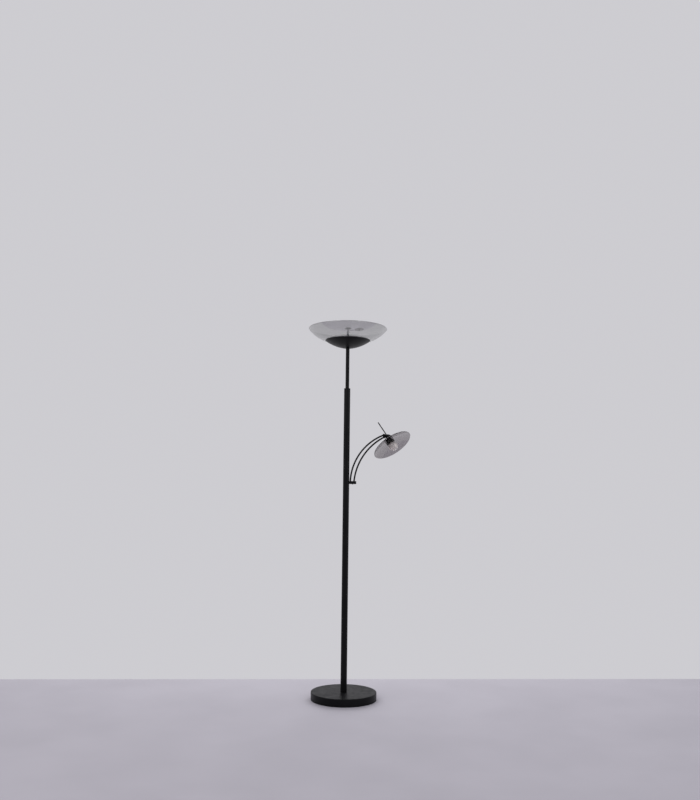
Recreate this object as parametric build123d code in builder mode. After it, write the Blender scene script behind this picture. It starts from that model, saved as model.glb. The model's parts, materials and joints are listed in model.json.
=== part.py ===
"""Torchiere floor lamp with a reading light, in millimetres.

The origin is on the floor under the pole, +Z is up, the reading arm leaves towards +X
and the front of the lamp looks towards -Y.
"""

from build123d import *
from math import asin, cos, degrees, hypot, radians, sin, sqrt
import os

# ---------------------------------------------------------------- driving dimensions

# whole lamp
overall_height = 1750.0
thread_clearance = 0.03
press_clearance = 0.03
running_clearance = 0.05

# foot
base_radius = 152.5
base_height = 35.0
base_edge_radius = 2.5
cover_wall = 1.5
cover_floor_gap = 0.5
pad_radius = 142.0
pad_thickness = 3.0
weight_radius = 145.0
weight_thickness = 16.0
weight_edge_radius = 2.0
weight_boss_radius = 38.0
nut_pocket_radius = 24.0
nut_pocket_depth = 22.0
cord_channel_width = 9.0
cord_channel_depth = 10.0
cord_axis_height = 9.0
grommet_bore_radius = 3.0
grommet_neck_radius = 4.5
grommet_flange_radius = 6.5
grommet_flange_thickness = 2.0

# M10 hollow studs
stud_radius = 4.9
stud_bore_radius = 3.75
nut_across_flats = 17.0
nut_thickness = 5.0
washer_radius = 15.0
washer_thickness = 1.5
stud_spare_end = 1.0
foot_stud_grip = 28.0

# pole
pole_radius = 15.0
pole_wall = 1.2
pole_end_chamfer = 0.25
pole_top_height = 1454.5
lower_pole_length = 460.0
middle_pole_length = 460.0
coupler_length = 40.0
coupler_bore_radius = 7.0
foot_bush_length = 30.0
top_bush_flange = 3.0
top_bush_round = 1.3
top_bush_spigot = 25.0

# stem
stem_radius = 9.0
stem_wall = 1.0
stem_bush_length = 25.0
cup_stud_grip = 22.0

# uplighter cup and bowl
cup_flat_radius = 12.0
cup_rim_radius = 109.4
cup_depth = 38.2
cup_belly = 6.3
cup_wall = 1.2
cup_washer_radius = 11.5
cup_washer_thickness = 2.2
cup_gasket_width = 3.0
cup_gasket_thickness = 1.0
bowl_rim_radius = 192.0
bowl_depth = 58.4
bowl_curve_radius = 158.0
bowl_wall = 4.0
bowl_hole_radius = 96.0
bowl_gasket_width = 5.0
bowl_gasket_thickness = 1.2

# light module in the cup
plate_overhang = 7.0
plate_thickness = 2.0
bridge_width = 20.0
bridge_thickness = 2.0
bridge_foot_half = 20.0
bridge_screw_offset = 72.0
bridge_tab = 9.0
plate_screw_radius = 2.0
plate_screw_head_radius = 3.8
plate_screw_head_height = 2.2
plate_screw_length = 8.0
driver_length = 70.0
driver_width = 32.0
driver_height = 14.0
driver_offset = 30.0
driver_edge_radius = 1.5
board_radius = 60.0
board_thickness = 1.6
chip_size = 5.0
chip_height = 0.8
chip_rings = ((20.0, 6), (34.0, 12), (50.0, 18))
diffuser_radius = 96.0
diffuser_flange = 6.0
diffuser_wall = 2.0
diffuser_side_height = 10.0
diffuser_crown = 5.0
diffuser_corner_radius = 4.0
diffuser_ring_radius = 101.0
diffuser_ring_lip = 1.6
diffuser_ring_cover = 4.5

# cables inside the lamp
mains_cable_radius = 2.5
mains_cable_bend = 8.0
splice_radius = 10.0
splice_length = 30.0
splice_drop = 98.0
uplight_lead_radius = 1.8
uplight_lead_offset = -4.0
uplight_lead_shift_rise = 42.0
uplight_lead_shift_length = 60.0
uplight_lead_shift_bend = 120.0
uplight_lead_bend = 7.0
reading_lead_radius = 1.2
reading_lead_offset = 2.0
reading_lead_bend = 3.2

# fixed spindle of the reading arm
sleeve_height = 999.6
spindle_radius = 4.0
spindle_bore_radius = 2.0
spindle_start = 6.0
spindle_end = 36.3
spindle_groove_depth = 1.2
spindle_land = 1.2
spindle_nut_start = 5.8
spindle_nut_half_width = 6.0
spindle_nut_half_height = 7.0
saddle_radius = 5.6
saddle_end = 16.8
saddle_side_gap = 0.3
friction_washer_radius = 5.4
friction_washer_thickness = 0.6
sleeve_end_gap = 0.1
sleeve_pole_gap = 0.4

# turning sleeve of the reading arm
sleeve_radius = 7.25
sleeve_end = 48.5
sleeve_end_round = 2.0
sleeve_blind_wall = 5.0
set_screw_offset = 31.6
set_screw_radius = 2.0
set_screw_stand_proud = 2.0
set_screw_tip_gap = 0.1

# the two bent tubes of the arm
arm_tube_radius = 3.9
arm_tube_wall = 1.3
outer_tube_foot = 19.7
outer_tube_reach = 176.5
outer_tube_above_hinge = 4.0
outer_tube_bow = 41.8
inner_tube_foot = 37.2
inner_tube_reach = 178.5
inner_tube_below_hinge = 6.5
inner_tube_bow = 33.3
tube_seat_in_sleeve = 1.1

# end block and knuckle
end_block_start = 174.5
end_block_length = 10.0
end_block_half_width = 5.0
end_block_below_hinge = 11.3
end_block_above_hinge = 10.7
end_block_round = 1.6
hinge_rise = 225.0
head_turn = 26.4
head_tilt = 60.5
head_lean_out = 19.0
barrel_radius = 8.7
barrel_near = 6.5
barrel_shoulder = 6.0
barrel_far = 25.5
barrel_nose_radius = 2.5
barrel_edge_round = 0.8
barrel_relief_gap = 0.4
tongue_radius = 5.4
tongue_thickness = 5.0
tongue_bar_half = 3.6
tongue_side_gap = 0.2
tongue_slot_gap = 0.4
swivel_radius = 2.6
swivel_length = 5.4
swivel_pin_depth = 2.4
swivel_groove_depth = 1.0
swivel_pin_radius = 0.8
swivel_pin_length = 9.0
swivel_pin_gap = 0.1
knuckle_face_gap = 0.2
tilt_screw_radius = 2.0
tilt_screw_head_radius = 3.4
tilt_screw_head_height = 1.7
tilt_screw_head_seat = 6.8
tilt_screw_socket = 1.25
tilt_screw_socket_depth = 1.1
tilt_nut_across_flats = 7.0
tilt_nut_thickness = 2.6
tilt_nut_seat = 5.6
tilt_nut_pocket_radius = 4.4
tilt_screw_tail = 0.3

# aiming handle
handle_radius = 2.5
handle_tip = 80.5
handle_barrel_gap = 0.4

# lampholder, measured along the head from the tilt screw
holder_cap_radius = 16.0
holder_cap_start = 12.8
holder_cap_end = 32.7
holder_cap_wall = 1.0
holder_cap_round = 2.0
holder_radius = 13.8
holder_end = 43.3
holder_floor = 2.2
holder_bore_radius = 7.8
contact_wall = 0.4
contact_start = 1.5
contact_length = 18.0
contact_tongue_radius = 2.6
ring_radius = 21.5
ring_height = 7.0
ring_round = 1.2
ring_ribs = 24
ring_rib_radius = 0.9
shade_neck_clearance = 0.5
shade_flat_radius = 23.0
shade_radius = 99.5
shade_rim_distance = 58.7
shade_curve_radius = 205.0
shade_wall = 3.0

# golf-ball bulb
bulb_tip_start = 19.5
bulb_cap_radius = 6.9
bulb_cap_length = 23.0
bulb_button_radius = 2.6
bulb_button_height = 2.0
bulb_taper = 4.0
bulb_radius = 22.5
bulb_neck_length = 22.0
bulb_glass_wall = 0.8
bulb_shoulder_angle = 48.0
bulb_waist_spread = 0.3
bulb_waist_rise = 0.55
bulb_mount_radius = 3.6
bulb_mount_length = 14.0
filament_radius = 0.85
filament_length = 24.0
filament_count = 4
filament_foot_spread = 2.2
filament_top_spread = 7.5


# ---------------------------------------------------------------- places worked out from them

cover_top_inside = base_height - cover_wall
weight_bottom = pad_thickness
weight_top = weight_bottom + weight_thickness
pocket_ceiling = weight_bottom + nut_pocket_depth
base_washer_bottom = pocket_ceiling - washer_thickness
base_nut_bottom = base_washer_bottom - nut_thickness
base_stud_bottom = base_nut_bottom - stud_spare_end

pole_bore = pole_radius - pole_wall
pole_tube_top = pole_top_height - top_bush_flange
lower_joint = base_height + lower_pole_length
upper_joint = lower_joint + middle_pole_length
stem_bottom = pole_tube_top - top_bush_spigot
stem_bore = stem_radius - stem_wall

cup_rim_height = overall_height - bowl_depth - cup_gasket_thickness
cup_bottom_height = cup_rim_height - cup_depth

gland_seat = sqrt((base_radius - cover_wall) ** 2 - grommet_neck_radius**2)
hinge_height = sleeve_height + hinge_rise
end_block_end = end_block_start + end_block_length
barrel_start = end_block_end + knuckle_face_gap
hinge_offset = barrel_start + barrel_near
hinge_point = Vector(hinge_offset, 0, hinge_height)


def arc_centre(start, start_radius, end, end_radius):
    """Centre, inside a bowl's section, that lies at two given distances from two points."""
    run, rise = end[0] - start[0], end[1] - start[1]
    chord = hypot(run, rise)
    along = (start_radius**2 - end_radius**2 + chord**2) / (2 * chord)
    lift = sqrt(start_radius**2 - along**2)
    return (
        start[0] + (along * run - lift * rise) / chord,
        start[1] + (along * rise + lift * run) / chord,
    )


def on_arc(centre, radius, angle):
    """Point of a bowl's section, with the angle counted from straight below the arc's centre."""
    return (centre[0] + radius * sin(radians(angle)), centre[1] - radius * cos(radians(angle)))


bowl_seat = (cup_rim_radius, cup_rim_height + cup_gasket_thickness)
bowl_rim = (bowl_rim_radius - bowl_wall / 2, overall_height - bowl_wall / 2)
bowl_middle_radius = bowl_curve_radius - bowl_wall / 2
bowl_centre = arc_centre(bowl_seat, bowl_curve_radius, bowl_rim, bowl_middle_radius)
bowl_inner_radius = bowl_curve_radius - bowl_wall


def bowl_underside(radius):
    """Height of the bowl's outer face at a distance from the pole's axis."""
    return bowl_centre[1] - sqrt(bowl_curve_radius**2 - (radius - bowl_centre[0]) ** 2)


def bowl_inside(radius):
    """Height of the bowl's inner face at a distance from the pole's axis."""
    return bowl_centre[1] - sqrt(bowl_inner_radius**2 - (radius - bowl_centre[0]) ** 2)


plate_radius = bowl_hole_radius + plate_overhang
bowl_gasket_start = plate_radius - bowl_gasket_width
plate_bottom = bowl_inside(plate_radius) + bowl_gasket_thickness
plate_top = plate_bottom + plate_thickness
board_top = plate_top + board_thickness
cup_floor = cup_bottom_height + cup_wall
bridge_bottom = cup_floor + cup_washer_thickness
bridge_top = bridge_bottom + bridge_thickness
cup_nut_top = bridge_top + nut_thickness

# the turned frame of the knuckle: X stays and its normal, the tilt axis, faces the viewer
knuckle_plane = Plane(
    origin=hinge_point,
    x_dir=(1, 0, 0),
    z_dir=(0, -cos(radians(head_turn)), sin(radians(head_turn))),
)
# the frame of the head: its local Y runs out of the shade
head_plane = Plane(
    origin=hinge_point,
    x_dir=knuckle_plane.y_dir * -cos(radians(head_tilt)) - knuckle_plane.x_dir * sin(radians(head_tilt)),
    z_dir=knuckle_plane.z_dir,
)
head_axis = Axis(hinge_point, head_plane.y_dir)

pieces = {}


# ---------------------------------------------------------------- shapes that repeat


def tube(plane, outer, inner, length):
    """A round tube, ring or, with no bore, a disc that stands on a plane."""
    with BuildPart() as piece:
        with BuildSketch(plane):
            Circle(outer)
            if inner > 0:
                Circle(inner, mode=Mode.SUBTRACT)
        extrude(amount=length)
    return piece


def hex_nut(plane, across_flats, bore, thickness):
    """A six-sided nut that stands on a plane."""
    with BuildPart() as piece:
        with BuildSketch(plane):
            RegularPolygon(across_flats / 2, 6, major_radius=False)
            Circle(bore, mode=Mode.SUBTRACT)
        extrude(amount=thickness)
    return piece


def turned(profile, plane=Plane.XZ, axis=Axis.Z):
    """A solid turned from a closed outline of (radius, height) points."""
    with BuildPart() as piece:
        with BuildSketch(plane):
            with BuildLine():
                Polyline(*profile, close=True)
            make_face()
        revolve(axis=axis)
    return piece


def glass_shell(plane, axis, centre, radius, wall, hole, rim_angle):
    """A shell of bent glass: an arc in section, a square hole edge and a rounded rim."""
    outer_start = on_arc(centre, radius, degrees(asin((hole - centre[0]) / radius)))
    inner = radius - wall
    inner_start = on_arc(centre, inner, degrees(asin((hole - centre[0]) / inner)))
    half = rim_angle / 2 + degrees(asin((hole - centre[0]) / radius)) / 2
    outer_end = on_arc(centre, radius, rim_angle)
    inner_end = on_arc(centre, inner, rim_angle)
    middle_end = on_arc(centre, radius - wall / 2, rim_angle)
    rim_tip = (
        middle_end[0] + wall / 2 * cos(radians(rim_angle)),
        middle_end[1] + wall / 2 * sin(radians(rim_angle)),
    )
    with BuildPart() as piece:
        with BuildSketch(plane):
            with BuildLine():
                ThreePointArc(outer_start, on_arc(centre, radius, half), outer_end)
                ThreePointArc(outer_end, rim_tip, inner_end)
                ThreePointArc(inner_end, on_arc(centre, inner, half), inner_start)
                Line(inner_start, outer_start)
            make_face()
        revolve(axis=axis)
    return piece


def cable(points, bends, radius):
    """A round cable along straight runs joined by tangent arcs."""
    with BuildPart() as piece:
        with BuildLine() as route:
            FilletPolyline(*points, radius=bends)
        with BuildSketch(Plane(origin=route.line @ 0, z_dir=route.line % 0)):
            Circle(radius)
        sweep(path=route.line)
    return piece


# ---------------------------------------------------------------- foot

with BuildPart() as base_cover:
    with BuildSketch():
        Circle(base_radius)
    extrude(amount=base_height)
    fillet(base_cover.edges().group_by(Axis.Z)[-1], base_edge_radius)
    with BuildSketch():
        Circle(base_radius - cover_wall)
    extrude(amount=cover_top_inside, mode=Mode.SUBTRACT)
    with BuildSketch():
        Circle(base_radius)
    extrude(amount=cover_floor_gap, mode=Mode.SUBTRACT)
    with BuildSketch(Plane.XY.offset(cover_top_inside)):
        Circle(stud_radius + thread_clearance)
    extrude(amount=cover_wall, mode=Mode.SUBTRACT)
    with BuildSketch(Plane.XZ.offset(-base_radius)):
        with Locations((0, cord_axis_height)):
            Circle(grommet_neck_radius)
    extrude(amount=2 * grommet_neck_radius, mode=Mode.SUBTRACT)
pieces["base_cover"] = base_cover

with BuildPart() as base_weight:
    with BuildSketch(Plane.XY.offset(weight_bottom)):
        Circle(weight_radius)
    extrude(amount=weight_thickness)
    fillet(base_weight.edges().filter_by(GeomType.CIRCLE), weight_edge_radius)
    with BuildSketch(Plane.XY.offset(weight_top)):
        Circle(weight_boss_radius)
    extrude(amount=cover_top_inside - weight_top)
    with BuildSketch(Plane.XY.offset(weight_bottom)):
        Circle(nut_pocket_radius)
    extrude(amount=nut_pocket_depth, mode=Mode.SUBTRACT)
    with BuildSketch(Plane.XY.offset(weight_bottom)):
        Rectangle(cord_channel_width, weight_radius, align=(Align.CENTER, Align.MIN))
    extrude(amount=cord_channel_depth, mode=Mode.SUBTRACT)
    with BuildSketch(Plane.XY.offset(pocket_ceiling)):
        Circle(stud_radius + thread_clearance)
    extrude(amount=cover_top_inside - pocket_ceiling, mode=Mode.SUBTRACT)
pieces["base_weight"] = base_weight

pieces["base_pad"] = tube(Plane.XY, pad_radius, 0, pad_thickness)

# rubber bush in the back of the cover, round the opening for the supply cord
with BuildPart() as cord_grommet:
    with BuildSketch(Plane.XZ.offset(-base_radius)):
        with Locations((0, cord_axis_height)):
            Circle(grommet_flange_radius)
    extrude(amount=-grommet_flange_thickness)
    with BuildSketch(Plane.XZ.offset(-base_radius)):
        with Locations((0, cord_axis_height)):
            Circle(grommet_neck_radius)
    extrude(amount=base_radius - gland_seat + cover_wall)
    with BuildSketch(Plane.XZ.offset(-base_radius - grommet_flange_thickness)):
        with Locations((0, cord_axis_height)):
            Circle(grommet_bore_radius)
    extrude(amount=base_radius, mode=Mode.SUBTRACT)
pieces["cord_grommet"] = cord_grommet
grommet_inner_end = gland_seat - cover_wall

foot_stud_length = base_height + foot_stud_grip - base_stud_bottom
pieces["base_stud"] = tube(
    Plane.XY.offset(base_stud_bottom), stud_radius, stud_bore_radius, foot_stud_length
)
pieces["base_washer"] = tube(
    Plane.XY.offset(base_washer_bottom),
    washer_radius,
    stud_radius + thread_clearance,
    washer_thickness,
)
pieces["base_nut"] = hex_nut(
    Plane.XY.offset(base_nut_bottom),
    nut_across_flats,
    stud_radius + thread_clearance,
    nut_thickness,
)

# ---------------------------------------------------------------- pole and stem


def pole_section(bottom, top):
    """One length of pole tube, with its end edges broken."""
    section = tube(Plane.XY.offset(bottom), pole_radius, pole_bore, top - bottom)
    with BuildPart() as piece:
        add(section.part)
        ends = piece.edges().filter_by(GeomType.CIRCLE).filter_by(lambda edge: edge.radius > pole_bore)
        chamfer(ends, pole_end_chamfer)
    return piece


def pole_fitting(bottom, length, bore):
    """A bush or coupler that fills the pole's bore."""
    return tube(Plane.XY.offset(bottom), pole_bore - press_clearance, bore, length)


pieces["foot_bush"] = pole_fitting(base_height, foot_bush_length, stud_radius + thread_clearance)
pieces["lower_pole"] = pole_section(base_height, lower_joint)
pieces["middle_pole"] = pole_section(lower_joint, upper_joint)
for name, joint in (("lower_coupler", lower_joint), ("upper_coupler", upper_joint)):
    pieces[name] = pole_fitting(joint - coupler_length / 2, coupler_length, coupler_bore_radius)

# the upper tube also has the hole of the arm's spindle, in its +X wall
with BuildPart() as upper_pole:
    add(pole_section(upper_joint, pole_tube_top).part)
    with BuildSketch(Plane.YZ):
        with Locations((0, sleeve_height)):
            Circle(spindle_radius + press_clearance)
    extrude(amount=pole_radius, mode=Mode.SUBTRACT)
pieces["upper_pole"] = upper_pole

with BuildPart() as pole_top_bush:
    with BuildSketch(Plane.XY.offset(pole_tube_top)):
        Circle(pole_radius)
    extrude(amount=top_bush_flange)
    fillet(pole_top_bush.edges().group_by(Axis.Z)[-1], top_bush_round)
    with BuildSketch(Plane.XY.offset(pole_tube_top)):
        Circle(pole_bore - press_clearance)
    extrude(amount=-top_bush_spigot)
    with BuildSketch(Plane.XY.offset(pole_top_height)):
        Circle(stem_radius + press_clearance)
    extrude(amount=-(top_bush_flange + top_bush_spigot), mode=Mode.SUBTRACT)
pieces["pole_top_bush"] = pole_top_bush

pieces["stem_tube"] = tube(
    Plane.XY.offset(stem_bottom), stem_radius, stem_bore, cup_bottom_height - stem_bottom
)
pieces["stem_bush"] = tube(
    Plane.XY.offset(cup_bottom_height - stem_bush_length),
    stem_bore - press_clearance,
    stud_radius + thread_clearance,
    stem_bush_length,
)
cup_stud_bottom = cup_bottom_height - cup_stud_grip
pieces["cup_stud"] = tube(
    Plane.XY.offset(cup_stud_bottom),
    stud_radius,
    stud_bore_radius,
    cup_nut_top + stud_spare_end - cup_stud_bottom,
)
pieces["cup_nut"] = hex_nut(
    Plane.XY.offset(bridge_top), nut_across_flats, stud_radius + thread_clearance, nut_thickness
)

# ---------------------------------------------------------------- uplighter

with BuildPart() as cup_shell:
    with BuildSketch(Plane.XZ):
        with BuildLine():
            hole = stud_radius + thread_clearance
            Polyline((hole, cup_floor), (hole, cup_bottom_height), (cup_flat_radius, cup_bottom_height))
            SagittaArc(
                (cup_flat_radius, cup_bottom_height), (cup_rim_radius, cup_rim_height), -cup_belly
            )
            Line((cup_rim_radius, cup_rim_height), (cup_rim_radius - cup_wall, cup_rim_height))
            SagittaArc(
                (cup_rim_radius - cup_wall, cup_rim_height), (cup_flat_radius, cup_floor), cup_belly
            )
            Line((cup_flat_radius, cup_floor), (hole, cup_floor))
        make_face()
    revolve()
pieces["cup_shell"] = cup_shell

bowl_rim_angle = degrees(asin((bowl_rim[0] - bowl_centre[0]) / bowl_middle_radius))
pieces["glass_bowl"] = glass_shell(
    Plane.XZ, Axis.Z, bowl_centre, bowl_curve_radius, bowl_wall, bowl_hole_radius, bowl_rim_angle
)
cup_gasket_inner = cup_rim_radius - cup_gasket_width
cup_gasket_middle = cup_rim_radius - cup_gasket_width / 2
with BuildPart() as cup_gasket:
    with BuildSketch(Plane.XZ):
        with BuildLine():
            ThreePointArc(
                (cup_rim_radius, bowl_underside(cup_rim_radius)),
                (cup_gasket_middle, bowl_underside(cup_gasket_middle)),
                (cup_gasket_inner, bowl_underside(cup_gasket_inner)),
            )
            Polyline(
                (cup_gasket_inner, bowl_underside(cup_gasket_inner)),
                (cup_gasket_inner, bowl_underside(cup_gasket_inner) - cup_gasket_thickness),
                (cup_rim_radius - cup_wall, cup_rim_height),
                (cup_rim_radius, cup_rim_height),
                (cup_rim_radius, bowl_underside(cup_rim_radius)),
            )
        make_face()
    revolve()
pieces["cup_gasket"] = cup_gasket
pieces["bowl_gasket"] = turned(
    (
        (bowl_gasket_start, bowl_inside(bowl_gasket_start)),
        (plate_radius, bowl_inside(plate_radius)),
        (plate_radius, plate_bottom),
        (bowl_gasket_start, plate_bottom),
    )
)

pieces["cup_washer"] = tube(
    Plane.XY.offset(cup_floor),
    cup_washer_radius,
    stud_radius + thread_clearance,
    cup_washer_thickness,
)

# strap clamped in the bottom of the cup, which pulls the plate and the bowl down
bridge_tab_inner = bridge_screw_offset - bridge_tab
bridge_tab_outer = bridge_screw_offset + bridge_tab
bridge_slant = bridge_thickness * hypot(bridge_tab_inner - bridge_foot_half, plate_bottom - bridge_top)
bridge_slant = bridge_slant / (plate_bottom - bridge_top)
with BuildPart() as mounting_bridge:
    with BuildSketch(Plane.XZ.offset(-bridge_width / 2)):
        with BuildLine():
            half_strap = Polyline(
                (0, bridge_bottom),
                (bridge_foot_half, bridge_bottom),
                (bridge_tab_inner, plate_bottom - bridge_thickness),
                (bridge_tab_outer, plate_bottom - bridge_thickness),
                (bridge_tab_outer, plate_bottom),
                (bridge_tab_inner - bridge_slant / 2, plate_bottom),
                (bridge_foot_half - bridge_slant / 2, bridge_top),
                (0, bridge_top),
            )
            mirror(half_strap, about=Plane.YZ)
        make_face()
    extrude(amount=bridge_width)
    with BuildSketch(Plane.XY.offset(bridge_bottom)):
        Circle(stud_radius + thread_clearance)
    extrude(amount=bridge_thickness, mode=Mode.SUBTRACT)
    with BuildSketch(Plane.XY.offset(plate_bottom - bridge_thickness)):
        with Locations((-bridge_screw_offset, 0), (bridge_screw_offset, 0)):
            Circle(plate_screw_radius + thread_clearance)
    extrude(amount=bridge_thickness, mode=Mode.SUBTRACT)
pieces["mounting_bridge"] = mounting_bridge

with BuildPart() as heat_plate:
    with BuildSketch(Plane.XY.offset(plate_bottom)):
        Circle(plate_radius)
        with Locations((-bridge_screw_offset, 0), (bridge_screw_offset, 0)):
            Circle(plate_screw_radius + thread_clearance, mode=Mode.SUBTRACT)
    extrude(amount=plate_thickness)
pieces["heat_plate"] = heat_plate

with BuildPart() as plate_screws:
    with BuildSketch(Plane.XY.offset(plate_top)):
        with Locations((-bridge_screw_offset, 0), (bridge_screw_offset, 0)):
            Circle(plate_screw_head_radius)
    extrude(amount=plate_screw_head_height)
    with BuildSketch(Plane.XY.offset(plate_top)):
        with Locations((-bridge_screw_offset, 0), (bridge_screw_offset, 0)):
            Circle(plate_screw_radius)
    extrude(amount=-plate_screw_length)
pieces["plate_screws"] = plate_screws

with BuildPart() as led_driver:
    with BuildSketch(Plane.XY.offset(plate_bottom)):
        with Locations((0, driver_offset)):
            Rectangle(driver_length, driver_width)
    extrude(amount=-driver_height)
    fillet(led_driver.edges().filter_by(Axis.Z), driver_edge_radius)
pieces["led_driver"] = led_driver

pieces["led_board"] = tube(Plane.XY.offset(plate_top), board_radius, 0, board_thickness)

with BuildPart() as led_chips:
    with BuildSketch(Plane.XY.offset(board_top)):
        for ring, count in chip_rings:
            with PolarLocations(ring, count):
                Rectangle(chip_size, chip_size)
    extrude(amount=chip_height)
pieces["led_chips"] = led_chips

# opal cover over the light module: flange, straight side and slightly crowned top
diffuser_side = diffuser_radius - diffuser_flange
diffuser_shoulder = plate_top + diffuser_side_height
with BuildPart() as diffuser:
    with BuildSketch(Plane.XZ):
        with BuildLine():
            Polyline(
                (diffuser_side - diffuser_wall, plate_top),
                (diffuser_radius, plate_top),
                (diffuser_radius, plate_top + diffuser_wall),
                (diffuser_side, plate_top + diffuser_wall),
                (diffuser_side, diffuser_shoulder - diffuser_corner_radius),
            )
            RadiusArc(
                (diffuser_side, diffuser_shoulder - diffuser_corner_radius),
                (diffuser_side - diffuser_corner_radius, diffuser_shoulder),
                -diffuser_corner_radius,
            )
            outer_crown = Bezier(
                (diffuser_side - diffuser_corner_radius, diffuser_shoulder),
                (diffuser_side / 2, diffuser_shoulder + diffuser_crown),
                (0, diffuser_shoulder + diffuser_crown),
            )
            Line(outer_crown @ 1, (0, diffuser_shoulder + diffuser_crown - diffuser_wall))
            Bezier(
                (0, diffuser_shoulder + diffuser_crown - diffuser_wall),
                (diffuser_side / 2, diffuser_shoulder + diffuser_crown - diffuser_wall),
                (diffuser_side - diffuser_wall - diffuser_corner_radius, diffuser_shoulder - diffuser_wall),
            )
            Polyline(
                (diffuser_side - diffuser_wall - diffuser_corner_radius, diffuser_shoulder - diffuser_wall),
                (diffuser_side - diffuser_wall, diffuser_shoulder - diffuser_wall - diffuser_corner_radius),
                (diffuser_side - diffuser_wall, plate_top),
            )
        make_face()
    revolve()
pieces["diffuser"] = diffuser

ring_inner_wall = diffuser_radius + press_clearance
ring_lip_bottom = plate_top + diffuser_wall
ring_lip_inner = diffuser_radius - diffuser_ring_cover
pieces["diffuser_ring"] = turned(
    (
        (ring_inner_wall, plate_top),
        (diffuser_ring_radius, plate_top),
        (diffuser_ring_radius, ring_lip_bottom + diffuser_ring_lip),
        (ring_lip_inner, ring_lip_bottom + diffuser_ring_lip),
        (ring_lip_inner, ring_lip_bottom),
        (ring_inner_wall, ring_lip_bottom),
    )
)

# ---------------------------------------------------------------- cables inside

splice_top = sleeve_height - splice_drop
splice_bottom_height = splice_top - splice_length
pieces["wire_splice"] = tube(
    Plane.XY.offset(splice_bottom_height), splice_radius, 0, splice_length
)
pieces["mains_cable"] = cable(
    ((0, grommet_inner_end, cord_axis_height), (0, 0, cord_axis_height), (0, 0, splice_bottom_height)),
    mains_cable_bend,
    mains_cable_radius,
)
uplight_lead_top = plate_bottom - driver_height / 2
shift_start = sleeve_height + uplight_lead_shift_rise
shift_end = shift_start + uplight_lead_shift_length
pieces["uplight_lead"] = cable(
    (
        (uplight_lead_offset, 0, splice_top),
        (uplight_lead_offset, 0, shift_start),
        (0, 0, shift_end),
        (0, 0, uplight_lead_top),
        (0, driver_offset - driver_width / 2, uplight_lead_top),
    ),
    [uplight_lead_shift_bend, uplight_lead_shift_bend, uplight_lead_bend],
    uplight_lead_radius,
)
pieces["reading_lead"] = cable(
    (
        (reading_lead_offset, 0, splice_top),
        (reading_lead_offset, 0, sleeve_height),
        (spindle_end, 0, sleeve_height),
    ),
    reading_lead_bend,
    reading_lead_radius,
)

# ---------------------------------------------------------------- spindle of the reading arm

spindle_plane = Plane.YZ.offset(spindle_start)
groove_end = spindle_end - spindle_land
groove_start = 2 * set_screw_offset - groove_end
with BuildPart() as arm_spindle:
    with BuildSketch(spindle_plane):
        with Locations((0, sleeve_height)):
            Circle(spindle_radius)
            Circle(spindle_bore_radius, mode=Mode.SUBTRACT)
    extrude(amount=spindle_end - spindle_start)
    with BuildSketch(Plane.YZ.offset(groove_start)):
        with Locations((0, sleeve_height)):
            Circle(spindle_radius + running_clearance)
            Circle(spindle_radius - spindle_groove_depth, mode=Mode.SUBTRACT)
    extrude(amount=groove_end - groove_start, mode=Mode.SUBTRACT)
pieces["arm_spindle"] = arm_spindle

# nut with a back that follows the inside of the pole
with BuildPart() as spindle_nut:
    with BuildSketch(Plane.XY.offset(sleeve_height - spindle_nut_half_height)):
        Circle(pole_bore - press_clearance)
        with Locations((spindle_nut_start, 0)):
            Rectangle(
                pole_radius,
                2 * spindle_nut_half_width,
                align=(Align.MIN, Align.CENTER),
                mode=Mode.INTERSECT,
            )
    extrude(amount=2 * spindle_nut_half_height)
    with BuildSketch(Plane.YZ):
        with Locations((0, sleeve_height)):
            Circle(spindle_radius + thread_clearance)
    extrude(amount=pole_radius, mode=Mode.SUBTRACT)
pieces["spindle_nut"] = spindle_nut

# washer hollowed to sit on the round pole
with BuildPart() as spindle_saddle:
    with BuildSketch(Plane.YZ):
        with Locations((0, sleeve_height)):
            Circle(saddle_radius)
            Circle(spindle_radius + press_clearance, mode=Mode.SUBTRACT)
    extrude(amount=saddle_end)
    with BuildSketch(Plane.XY.offset(sleeve_height - 2 * saddle_radius)):
        Circle(pole_radius)
    extrude(amount=4 * saddle_radius, mode=Mode.SUBTRACT)
pieces["spindle_saddle"] = spindle_saddle

washer_plane = Plane.YZ.offset(saddle_end)
sleeve_start = pole_radius + sleeve_pole_gap
sleeve_seat = saddle_end + friction_washer_thickness + sleeve_end_gap
with BuildPart() as friction_washer:
    with BuildSketch(washer_plane):
        with Locations((0, sleeve_height)):
            Circle(friction_washer_radius)
            Circle(spindle_radius + press_clearance, mode=Mode.SUBTRACT)
    extrude(amount=friction_washer_thickness)
pieces["friction_washer"] = friction_washer

# ---------------------------------------------------------------- reading arm


def arm_tube(foot, end, bow, outer, bore):
    """A bent tube from the sleeve's axis to the end block."""
    with BuildPart() as piece:
        with BuildLine(Plane.XZ) as route:
            SagittaArc((foot, sleeve_height), end, bow)
        with BuildSketch(Plane(origin=route.line @ 0, z_dir=route.line % 0)):
            Circle(outer)
            if bore > 0:
                Circle(bore, mode=Mode.SUBTRACT)
        sweep(path=route.line)
    return piece


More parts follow.
